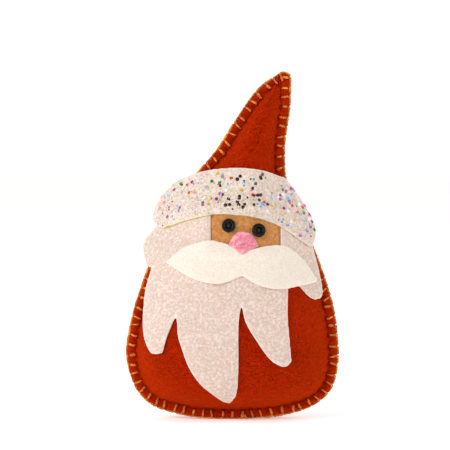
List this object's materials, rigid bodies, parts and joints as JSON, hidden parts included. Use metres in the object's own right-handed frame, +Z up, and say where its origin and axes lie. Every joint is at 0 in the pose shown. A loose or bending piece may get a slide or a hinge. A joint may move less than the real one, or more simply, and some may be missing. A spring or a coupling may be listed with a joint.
{
  "type": "stuffed felt gnome figurine",
  "caption": "Hand-sewn stuffed felt gnome with a pointed hat, glittered brim, long beard and mustache; it stands on its foot.",
  "frame": {"origin": "middle of the foot, on the surface the gnome stands on, under the centre of its box", "axes": "+Z up the gnome to the hat's tip, -Y the way its face looks, +X to the right as seen from the front"},
  "size_m": [0.1081, 0.049, 0.1765],
  "materials": {
    "body_felt": "burnt-orange wool felt, soft and matt",
    "filling": "white fibre filling",
    "face_felt": "tan wool felt with a mottled surface",
    "marled_felt": "pinkish-white felt with pink and beige fibres in it",
    "white_felt": "smooth cream-white felt",
    "pink_felt": "mottled pink felt",
    "bead": "near-black, glossy",
    "black_thread": "black sewing thread",
    "gold_thread": "golden-orange twisted embroidery thread with a slight sheen",
    "glue": "dried amber glue",
    "plum_confetti": "dark plum foil disc",
    "red_confetti": "orange-red foil disc",
    "green_confetti": "green foil disc",
    "violet_confetti": "violet foil speck",
    "blue_confetti": "blue foil speck",
    "silver_confetti": "silver foil disc",
    "gold_confetti": "gold foil disc"
  },
  "bodies": {
    "root": {"front_panel": "body_felt", "back_panel": "body_felt", "stuffing": "filling", "face_patch": "face_felt", "beard": "marled_felt", "mustache": "white_felt", "nose": "pink_felt", "hat_brim": "marled_felt", "left_eye": "bead", "right_eye": "bead", "left_eye_thread": "black_thread", "right_eye_thread": "black_thread", "base_seam_thread": "gold_thread", "right_seam_thread": "gold_thread", "hat_seam_thread": "gold_thread", "left_seam_thread": "gold_thread", "finishing_knot": "gold_thread", "face_glue": "glue", "beard_glue": "glue", "mustache_glue": "glue", "nose_glue": "glue", "brim_glue": "glue", "plum_glitter": "plum_confetti", "red_glitter": "red_confetti", "green_glitter": "green_confetti", "violet_glitter": "violet_confetti", "blue_glitter": "blue_confetti", "silver_glitter": "silver_confetti", "gold_glitter": "gold_confetti"}
  },
  "joints": []
}
